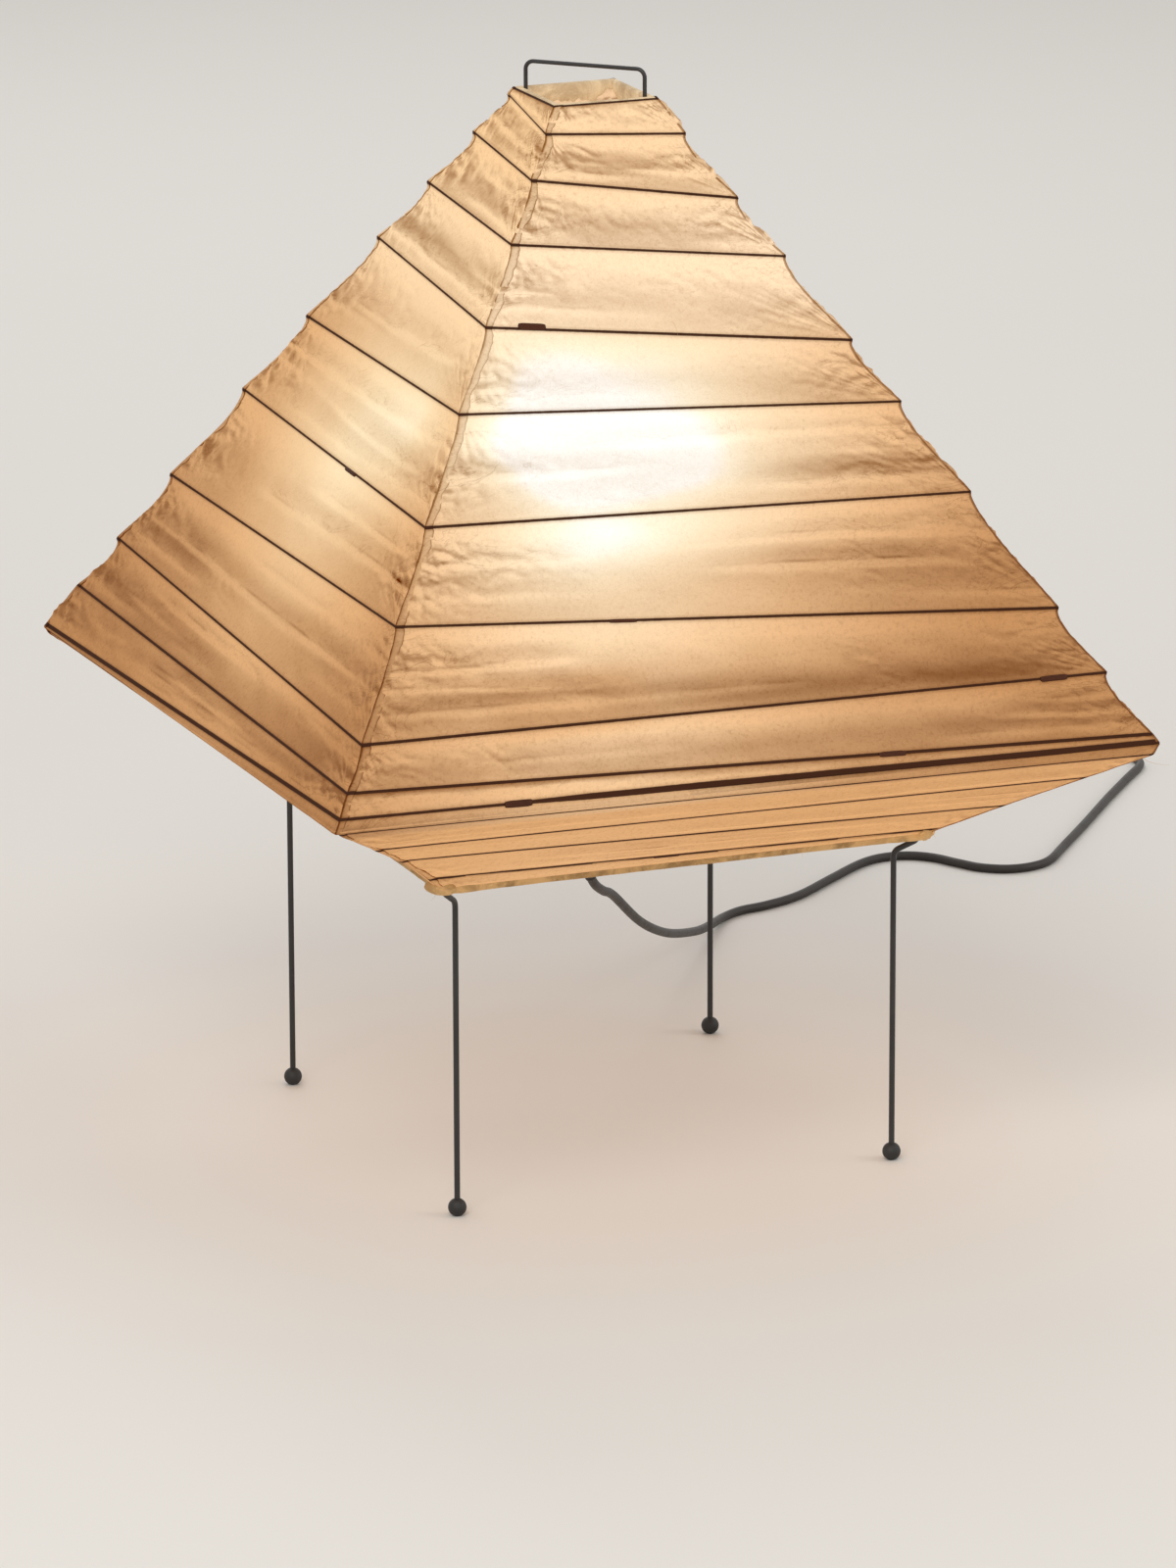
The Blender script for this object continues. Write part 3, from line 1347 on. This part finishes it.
    def seam(self, side: Side, material: Material) -> None:
        """The pasted lap on the far ridge of a face: a narrow crinkled strip laid on the next face.

        Its edge follows the ridge with a ragged width, and its height over the paper rises and falls in crinkles.

        Args:
            side: the face that it belongs to.
            material: its finish.
        """
        beyond = Side((int(side) + 1) % 4)
        ridge, next_ridge = self.papers[side][:, -1], self.papers[beyond][:, 0]
        down, there = travel(ridge), travel(next_ridge)
        order = np.linspace(0, 1, self.lap_rows)
        mm = order * down[-1]
        line = follow(mm, down, ridge)
        own_way = unit(follow(mm, down, unit(self.papers[side][:, -6] - ridge)))
        next_way = unit(follow(order * there[-1], there, unit(self.papers[beyond][:, 6] - next_ridge)))
        out = unit(-(own_way + next_way))
        lift = unit(np.cross(next_way, unit(np.gradient(line, axis=0))))
        lift = lift * np.sign((lift * out).sum(1, keepdims=True))
        grain = Grain(90 + int(side))
        ragged = 1 + 0.55 * grain(mm / 9.3, 0.3) + 0.22 * grain(mm / 2.3, 5.3)
        reach = np.linspace(0, 1, self.lap_columns)[None, :]
        crinkle = grain(mm[:, None] / 3.1 + reach * 0.6, reach * 1.7 + 11) * 0.75
        crinkle = crinkle + grain(mm[:, None] / 8.7, reach + 3) * 0.8
        sway = 1.5 * grain(mm / 11.0, 8.3)
        spread = self.lap * (reach * ragged[:, None]) + (sway[:, None] - 0.2) * (1 - reach) * 0.6
        height = 0.42 + 0.55 * np.clip(crinkle + 0.35, 0, 2) * np.sin(math.pi * np.clip(reach * 0.94 + 0.03, 0, 1))
        flat = line[:, None] + next_way[:, None] * spread[..., None]
        back = (0.9 + 0.6 * grain(mm / 4.7, 2.2))[:, None]
        wrap = (line + own_way * back + out * 0.35)[:, None]
        top = np.concatenate([wrap, flat + lift[:, None] * height[..., None]], 1)
        low = np.concatenate([wrap - out[:, None] * 0.3, flat + lift[:, None] * 0.05], 1)
        points = np.concatenate([top.reshape(-1, 3), low.reshape(-1, 3)])
        rows, columns = top.shape[:2]
        edge = np.concatenate([[0.45 if side is Side.FRONT else 1.0], np.abs(2 * reach[0] - 1) ** 4.5])
        crease = np.clip(crinkle, 0, 1)
        crease = np.concatenate([crease[:, :1], crease], 1)
        shade = -0.05 - 0.58 * edge - 0.16 * crease
        numbers = {"crease": np.full(len(points), 0.8), "relief": np.tile(shade.ravel(), 2)}
        for key, values in self.starts[beyond].items():
            shown = np.interp(order * there[-1], there, values)
            numbers[key] = np.tile(np.repeat(shown, columns), 2)
        publish(f"lap_{side.name.lower()}", points * MM, leaf_faces(rows, columns), material, Body.SHADE, "paper",
                numbers)

    def crossing(self, k: int) -> Array:
        """Corner of the strip where it crosses a ridge, inside the paper.

        Args:
            k: number of the crossing, counted along the strip.

        Returns:
            The point.
        """
        ridge, w = k % 4, np.array(self.ridges[k % 4][k // 4 + 1], float)
        n = self.normal(w)
        h = self.half(w) - self.inset * n[0]
        x, y = ((-1, 1), (-1, -1), (1, -1), (1, 1))[ridge]
        return np.array([x * h, y * h, self.level(ridge, w) - self.inset * n[1]])

    def strip(self, material: Material) -> None:
        """The bamboo strip: one tube along all its turns, bent round at the ridges, with a slight wobble.

        Args:
            material: its finish.
        """
        bend = 5.0
        corners = np.array([self.crossing(k) for k in range(4 * len(self.ridges[0]) - 5)])
        ahead = np.diff(corners, axis=0)
        way, far = unit(ahead), np.linalg.norm(ahead, axis=1)
        reach = np.clip(bend / far, 0, 0.3)[:, None]
        spots = reach + (1 - 2 * reach) * np.linspace(0, 1, 25)[None, :]
        spots[0, 0], spots[-1, -1] = 0.0, 1 - bend / 2 / far[-1]
        line = corners[:-1, None] + ahead[:, None] * spots[..., None]
        inner = corners[1:-1]
        rounded = 0.5 * inner + 0.25 * (inner - bend * way[:-1]) + 0.25 * (inner + bend * way[1:])
        path = np.concatenate([np.concatenate([line[:-1], rounded[:, None]], 1).reshape(-1, 3), line[-1]])
        grain, along = Grain(7), travel(path)
        path[:, 2] += 0.25 * grain(along / 31, 0.5)
        width = 0.72 + 0.10 * grain(along / 53, 1.5)
        points, faces, length = tube(path * MM, width * MM, 8, (0.85, 1.05))
        piece = publish("strip_turns", points, faces, material, Body.SHADE, "bamboo", {"along": length})
        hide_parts("bamboo_strip")

    def patches(self, material: Material) -> None:
        """Small brown laps that show through the paper where two lengths of the strip meet.

        Each is a thin plate with rounded, uneven ends, laid on the paper over the strip's line.

        Args:
            material: their finish.
        """
        angle = circle(28)
        blunt = [np.sign(v) * np.abs(v) ** 0.35 for v in (np.cos(angle), np.sin(angle))]
        parts = []
        for number, place in enumerate(self.splices):
            k = int(place)
            a, b = self.crossing(k), self.crossing(k + 1)
            way = unit(b - a)
            n = self.normal(np.array(self.ridges[k % 4][k // 4 + 1], float))
            face_out = self.turned(np.array([0.0, -n[0], n[1]]), Side(k % 4))
            up = unit(np.cross(face_out, way))
            centre = a + (b - a) * (place - k) + face_out * (self.inset + 0.35)
            wobble = 1 + 0.10 * Grain(300 + number)(angle * 1.9, number + 0.5)
            u = self.mark_long * blunt[0] * wobble
            v = self.mark_half[number] * blunt[1] * wobble + self.mark_rise[number]
            rings = [centre + way * (u * scale)[:, None] + up * (v * scale)[:, None] + face_out * lift
                     for scale, lift in ((0.0, 0.34), (0.7, 0.34), (0.94, 0.27), (1.0, -0.3), (0.0, -0.3))]
            faces = lattice(len(rings), len(angle), wrap_columns=True)
            parts.append((np.concatenate(rings) * MM, [faces[:, ::-1] if np.cross(way, up) @ face_out < 0 else faces]))
        points, faces = joined(parts)
        publish("splice_marks", points, faces, material, Body.SHADE, "bamboo", {"along": points[:, 0] + points[:, 1]})

    def hem(self, name: str, node: str, half: float, corner: float, profile: Callable[[Array, Array], Array],
            material: Material) -> None:
        """A folded paper edge: a closed profile carried round a square with rounded corners.

        Args:
            name: the piece's name.
            node: the CAD node that it stands for.
            half: half width of the square.
            corner: corner radius.
            profile: gives the profile's points, outward and up, from the way along the square and the distance to
                the nearest corner; its last column is how near a torn edge each point is.
            material: its finish.
        """
        straight = np.linspace(-half + corner, half - corner, 60)
        bend = np.radians(np.linspace(0, 90, 9))[1:-1]
        run = np.stack([straight, np.full(len(straight), -half)], 1)
        arc = np.stack([half - corner + corner * np.sin(bend), -half + corner - corner * np.cos(bend)], 1)
        path = np.concatenate([np.concatenate([run, arc]) @ spin(a)[:2, :2] for a in (0, 90, 180, 270)])
        tangent = unit(np.roll(path, -1, 0) - np.roll(path, 1, 0))
        outward = np.stack([tangent[:, 1], -tangent[:, 0]], 1)
        near = half * math.sqrt(2) - np.abs(path @ np.array([[1, 1], [1, -1]]) / math.sqrt(2)).max(1)
        section = profile(travel(path)[:, None], near[:, None])
        flat = path[:, None] + outward[:, None] * section[..., :1]
        points = np.concatenate([flat, section[..., 1:2]], 2)
        faces = lattice(len(path), section.shape[1], wrap_rows=True, wrap_columns=True)
        piece = publish(name, points.reshape(-1, 3) * MM, [faces], material, Body.SHADE, "hem_paper",
                        {"edge": section[..., 2]})
        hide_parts(node)

    def section(self, a: Array, corners: Sequence[tuple[Any, Any, float]], torn: Any = 0.0) -> Array:
        """Profiles all the way round a hem, from corners that are numbers or change along it.

        Args:
            a: the way along the hem, one row for each profile.
            corners: outward, up and nearness to a torn edge.
            torn: the least nearness everywhere.

        Returns:
            Profiles, rows by corners by 3.
        """
        full = np.ones_like(a)
        out, up, edge = (np.concatenate([full * c[k] for c in corners], 1) for k in range(3))
        return np.stack([out, up, np.maximum(edge, torn)], -1)

    def hems(self, lower: Material, upper: Material) -> None:
        """Make both hems and the crumpled corners.

        The lower one wraps the bottom ring, with its outer wall outside and its inner wall torn unevenly, and swells
        at the corners. The upper one goes over the top ring and hangs down inside with a torn edge.

        Args:
            lower: finish of the lower hem.
            upper: finish of the upper hem.
        """
        coarse, fine = Grain(501), Grain(502)

        def under(a: Array, near: Array) -> Array:
            """Profile of the lower hem.

            Args:
                a: the way along the hem.
                near: distance to the nearest corner.

            Returns:
                The profiles.
            """
            clump = np.exp(-(near / 17) ** 2)
            wob = coarse(a / 9, 0.5) + 0.6 * fine(a / 2.6, 1.5)
            o = 0.35 + clump * (0.9 + 1.3 * coarse(a / 4, 7.5)) * 1.3
            out_top, in_top = 167.2 + 0.7 * wob + 2.2 * clump, 166.4 + 2.2 * wob - 1.2 * clump
            drop, inside = 160.6 - 0.125 * wob, -3.1 - 0.4 * wob
            return self.section(a, [
                (0.05 + o * 0.3, out_top, 1), (o, 165.4, 0.4), (o * 1.05, 163.2, 0.1), (o, 161.6, 0.1),
                (o - 0.5, drop + 0.25, 0.2), (-1.2, drop, 0), (-2.3, drop + 0.15, 0), (inside, 161.7, 0.2),
                (inside - 0.1, 163.6, 0.5), (-3.15, in_top, 1), (-2.8, in_top, 1), (-2.75, 163.2, 0.4),
                (-2.6, 161.9, 0), (-1.6, 161.1, 0), (-0.6, 161.15, 0), (-0.05, 162.0, 0), (-0.05, 164.5, 0.3),
                (-0.1, out_top, 1)], 0.9 * clump)

        def over(a: Array, near: Array) -> Array:
            """Profile of the upper hem.

            Args:
                a: the way along the hem.
                near: distance to the nearest corner.

            Returns:
                The profiles.
            """
            wob = coarse(a / 8 + 30, 2.5) + 0.7 * fine(a / 2.2 + 8, 3.5)
            low = 499.6 + 2.4 * wob + 5.4 * np.exp(-(near / 5) ** 2)
            lean = -2.35 - 0.5 * np.abs(wob)
            torn, middle, bulge = lean - 0.5 * wob, (low + 506) / 2, 0.15 * wob
            return self.section(a, [
                (0.4, 505.9, 0.4), (0.5, 507.0, 0.2), (0.1, 507.85, 0.1), (-1.1, 507.95 + bulge, 0.1),
                (-2.3, 507.75, 0.1), (-2.7, 506.6, 0.2), (lean - 0.35, middle, 0.5), (torn - 0.3, low, 1),
                (torn, low, 1), (lean, middle, 0.5), (-2.35, 506.4, 0.2), (-2.0, 507.3, 0.1),
                (-1.1, 507.5 + bulge, 0.1), (-0.2, 507.45, 0.2), (0.12, 506.8, 0.3), (0.0, 505.9, 0.4)])

        self.hem("hem_lower", "bottom_hem", 122.07, 1.2, under, lower)
        self.clumps(lower)
        self.hem("hem_upper", "top_hem", 25.2, 1.0, over, upper)

    def clumps(self, material: Material) -> None:
        """Paper crumpled together outside each lower corner: a flattened ball pushed in and out by creases.

        Args:
            material: its finish.
        """
        size, place = np.array([2.5, 6.8, 3.0]), np.array([174.6, 0, 164.6])
        rise = np.radians(np.linspace(-88, 88, 34))
        grain, fine = Grain(611), Grain(612)
        ball, faces = lathe(np.stack([np.cos(rise), np.sin(rise)], 1), 56)
        x, y, z = ball.T
        parts = []
        for number, angle in enumerate((45, 135, 225, 315)):
            creased = grain.ridges(x * 1.7 + 5 * number, y * 1.7 + z * 1.3 + 3 * number, 2.2)
            creased = creased + 0.5 * fine.ridges(x * 4.1 + y * 2.3 + number, z * 3.7 - y * 1.9, 2.2)
            parts.append(((ball * (1 + 0.17 * creased)[:, None] * size + place) @ spin(angle) * MM, faces))
        points, faces = joined(parts)
        publish("hem_clumps", points, faces, material, Body.SHADE, "hem_paper", {"edge": np.full(len(points), 0.8)})

    def fibres(self, material: Material) -> None:
        """Loose fibres along the lower hem and a few on the slopes: thin three-sided hairs along random curls.

        Args:
            material: their finish.
        """
        rng = np.random.default_rng(11)
        starts, ways, sizes = [], [], []
        for _ in range(self.hairs):
            grid = self.papers[Side(int(rng.integers(4)))]
            starts.append(grid[-1 - int(rng.integers(3)), int(rng.integers(grid.shape[1]))])
            ways.append(np.array([rng.normal(), rng.normal(), -0.5 + 0.5 * rng.normal()]))
            sizes.append(rng.uniform(1.5, 5.5))
        for side, row, column, size in ((Side.FRONT, -69, -5, 11.0), (Side.FRONT, 150, -3, 7.0),
                                        (Side.LEFT, 120, 60, 5.0), (Side.FRONT, 90, 70, 5.0),
                                        (Side.RIGHT, 110, 40, 6.0), (Side.BACK, 140, 90, 6.0)):
            start = self.papers[side][row, column]
            starts.append(start)
            ways.append(np.append(unit(start * np.array([1, 1, 0]))[:2], -0.35))
            sizes.append(size)
        t = np.linspace(0, 1, 7)[:, None]
        parts = []
        for start, way, size in zip(starts, ways, sizes):
            curl = rng.normal(size=(2, 3)) * 0.45
            path = start + size * (unit(way) * t + curl[0] * t**2 + curl[1] * t * (1 - t))
            parts.append(tube(path * MM, self.hair_r * MM * (1 - 0.6 * t[:, 0]), 3)[:2])
        points, faces = joined(parts)
        publish("loose_fibres", points, faces, material, Body.SHADE, "hem_paper", {"edge": np.full(len(points), 0.8)})

    def build(self) -> Material:
        """Make the paper, its laps, the strip, its marks, the hems and the fibres.

        Returns:
            The strip's finish.
        """
        paper = Washi().make()
        for side in Side:
            self.face(side, paper)
        lap = Washi("pasted_lap", (0.25, 0.14, 0.062), 0.93).make()
        for side in Side:
            self.seam(side, lap)
        cane = Cane().make()
        self.strip(cane)
        self.patches(Cane("strip_lap", (0.085, 0.024, 0.008), (0.045, 0.012, 0.004)).make())
        lower = Hemmed("lower_hem", (0.20, 0.115, 0.042), (0.46, 0.30, 0.14), (0.27, 0.145, 0.05)).make()
        upper = Hemmed("upper_hem", (0.40, 0.27, 0.15), (0.62, 0.5, 0.34), (0.30, 0.22, 0.12)).make()
        self.hems(lower, upper)
        self.fibres(lower)
        return cane


@dataclass
class Stand:
    """The wire legs. Sizes in millimetres."""

    leg_r: float = 157.83
    foot_c: float = 4.1
    foot_d: float = 8.8
    wire: float = 2.8
    knee_r: float = 5.0
    knee_z: float = 150.63
    splay: float = 60.0
    apex_r: float = 169.53
    run_z: float = 165.0
    shoulder_r: float = 3.0
    wire_end: float = 10.0
    sides: int = 20
    angles: dict[str, float] = field(default_factory=lambda: {"left": 135.0, "front": 225.0, "right": 315.0,
                                                              "back": 45.0})

    def arc(self, centre: tuple[float, float], radius: float, start: float, end: float, steps: int) -> Array:
        """Points of an arc in the leg's upright plane, as reach and height."""
        a = np.radians(np.linspace(start, end, steps))
        return np.stack([centre[0] + radius * np.cos(a), centre[1] + radius * np.sin(a)], 1)

    def leg(self, name: str, angle: float, material: Material) -> None:
        """One leg: up from its ball, out to the shoulder and back level to the bridge, with a round section.

        Args:
            name: which leg.
            angle: direction of its plane, in degrees.
            material: its finish.
        """
        low = np.array([[self.leg_r, self.foot_c - self.foot_d / 4]])
        upright = np.stack([np.full(30, self.leg_r), np.linspace(low[0, 1] + 4, self.knee_z - 4, 30)], 1)
        knee = self.arc((self.leg_r + self.knee_r, self.knee_z), self.knee_r, 180, 180 - self.splay, 9)
        shoulder = self.arc((self.apex_r - self.shoulder_r, self.run_z - self.shoulder_r), self.shoulder_r,
                            -self.splay, 90, 17)
        flat = np.concatenate([low, upright, knee, shoulder, [[self.wire_end, self.run_z]]])
        path = np.stack([flat[:, 0], np.zeros(len(flat)), flat[:, 1]], 1) @ spin(angle) * MM
        square = spin(angle)[1]
        lift = np.cross(square, unit(np.gradient(path, axis=0)))
        turn = circle(self.sides)[None, :, None]
        ring = path[:, None] + self.wire / 2 * MM * (np.cos(turn) * square + np.sin(turn) * lift[:, None])
        points = np.concatenate([ring.reshape(-1, 3), path[:1], path[-1:]])
        faces = [f[:, ::-1] for f in tube_faces(len(path), self.sides)]
        piece = publish(f"wire_leg_{name}", points, faces, material, Body.BASE, "black_wire")
        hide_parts(f"leg_{name}")

    def build(self, material: Material) -> None:
        """Make the four legs."""
        for name, angle in self.angles.items():
            self.leg(name, angle, material)


@dataclass
class Bulb:
    """The lit bulb's glass. Sizes in millimetres."""

    radius: float = 27.5
    centre_z: float = 322.3
    neck: float = 12.2
    neck_z: float = 264.0
    flare: float = 40.0

    def build(self, material: Material) -> None:
        """Turn the glass: a straight neck, a hollow flare and a round top that meet smoothly.

        Args:
            material: its finish.
        """
        rise = math.sqrt((self.radius + self.flare) ** 2 - (self.neck + self.flare) ** 2)
        top = math.asin(rise / (self.radius + self.flare))
        a = np.linspace(0, top, 24)
        b = np.linspace(-top, math.pi / 2 - 0.02, 40)[1:]
        flare_z = self.centre_z - rise + self.flare * np.sin(a)
        curve = np.stack([self.neck + self.flare - self.flare * np.cos(a), flare_z], 1)
        ball = np.stack([self.radius * np.cos(b), self.centre_z + self.radius * np.sin(b)], 1)
        profile = np.concatenate([[[self.neck, self.neck_z]], curve, ball])
        piece = publish("glass_envelope", *lathe(profile * MM, 64), material, Body.BULB, "frosted_glass")
        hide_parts("bulb_glass")


@dataclass
class Plug:
    """The moulded plug's body. Sizes in millimetres."""

    length: float = 26.0
    width: float = 22.0
    height: float = 14.0
    heading: float = 110.0
    neck_w: float = 3.6
    neck_h: float = 3.5
    rounding: float = 1.6
    widens: tuple[float, float] = (6.0, 15.0)  # distances between which the neck opens
    ribbed: tuple[float, float] = (12.5, 21.0)
    sides: int = 48

    def build(self, start: Array, material: Material) -> None:
        """Loft the body: rounded sections that widen from the cord's neck to the face, with finger ribs.

        Args:
            start: where the cord enters, in metres.
            material: its finish.
        """
        x = np.linspace(0, 1, 90) * self.length
        wider = np.clip((x - self.widens[0]) / (self.widens[1] - self.widens[0]), 0, 1)
        wider = wider * wider * (3 - 2 * wider)
        off_end = np.clip((x - self.length + self.rounding) / self.rounding, 0, 1)
        end = np.sqrt(np.clip(1 - off_end**2 * 0.35, 0, 1))
        rib = 1 - 0.06 * (np.cos(x * 2.4) > 0.2) * (x > self.ribbed[0]) * (x < self.ribbed[1])
        wide = (self.neck_w + 0.12 * x * (1 - wider) + (self.width / 2 - self.neck_w) * wider) * end * rib
        tall = (self.neck_h + 0.1 * x * (1 - wider) + (self.height / 2 - self.neck_h) * wider) * end
        power = (1 - 0.45 * wider)[:, None]
        across, upright = (np.sign(v) * np.abs(v) ** power for v in (np.cos(circle(self.sides))[None, :],
                                                                     np.sin(circle(self.sides))[None, :]))
        y = np.minimum(wide, self.width / 2)[:, None] * across
        z = np.minimum(tall, self.height / 2)[:, None] * upright
        body = np.stack([np.broadcast_to(x[:, None], y.shape), y, z], -1).reshape(-1, 3)
        points = np.concatenate([body, [[0, 0, 0], [self.length, 0, 0]]]) @ spin(self.heading) * MM + start
        piece = publish("plug_shell", points, tube_faces(len(x), self.sides), material, Body.BASE, "cord_pvc")
        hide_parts("plug_body")


def dress(nodes: dict[str, Piece], paint: Material, plastic: Material, cane: Material) -> None:
    """Give the CAD nodes that stay in view their finishes, through their material slots.

    Args:
        nodes: the CAD nodes by name.
        paint: the black paint of the wires.
        plastic: the black plastic of the cord's fittings.
        cane: the strip's finish.
    """
    wardrobe = (
        (paint, "stretcher stop_collars bridge sleeve_left sleeve_right"),
        (Painted("ring_steel", (0.03, 0.026, 0.023), 0.38).make(), "top_ring bottom_ring"),
        (Moulded("rubber_ball", (0.011, 0.010, 0.010), 0.52, 1100, 0.00008).make(),
         "foot_left foot_front foot_right foot_back"),
        (Metal("brass", (0.78, 0.56, 0.26), (0.42, 0.27, 0.12), 0.28).make(),
         "thread_tube lock_nuts screw_shell centre_contact"),
        (plastic, "cord_grip"),
        (Moulded("holder_resin", (0.016, 0.013, 0.012), 0.32, 900, 0.00004, 0.3).make(), "holder_cap holder_shell"),
        (Moulded("glazed_core", (0.74, 0.70, 0.62), 0.28, 700, 0.00003, 0.5).make(), "holder_core"),
        (Metal("nickel", (0.74, 0.72, 0.68), (0.42, 0.40, 0.37), 0.26).make(),
         "bulb_cap bulb_tip terminal_screws switch_screws plug_blades"),
        (Moulded("insulator_glass", (0.02, 0.018, 0.02), 0.15, 500, 0.00002, 0.6).make(), "bulb_insulator"),
        (Moulded("switch_plastic", (0.017, 0.015, 0.014), 0.40).make(), "switch_base switch_cover"),
        (Moulded("rocker_plastic", (0.035, 0.032, 0.03), 0.36).make(), "switch_rocker"),
        (cane, "strip_splices"))
    for finish, names in wardrobe:
        for name in names.split():
            for place in nodes[name].material_slots:
                place.material = finish
            LOG.info("%s: dressed in %s", name, finish.name)


def main() -> None:
    """Build the lamp's looks round the CAD frame."""
    logging.basicConfig(level=logging.INFO, format="%(name)s %(message)s")
    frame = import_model()
    Studio().build()
    plastic = Moulded("black_plastic", (0.013, 0.012, 0.012), 0.44).make()
    route = Flex().build(Sheath().make(), plastic)
    paint = Painted("black_paint").make()
    Stand().build(paint)
    cane = Shade().build()
    Bulb().build(Frosted().make())
    Plug().build(route[-1], plastic)
    dress(frame["nodes"], paint, plastic, cane)


if __name__ == "__main__":
    main()
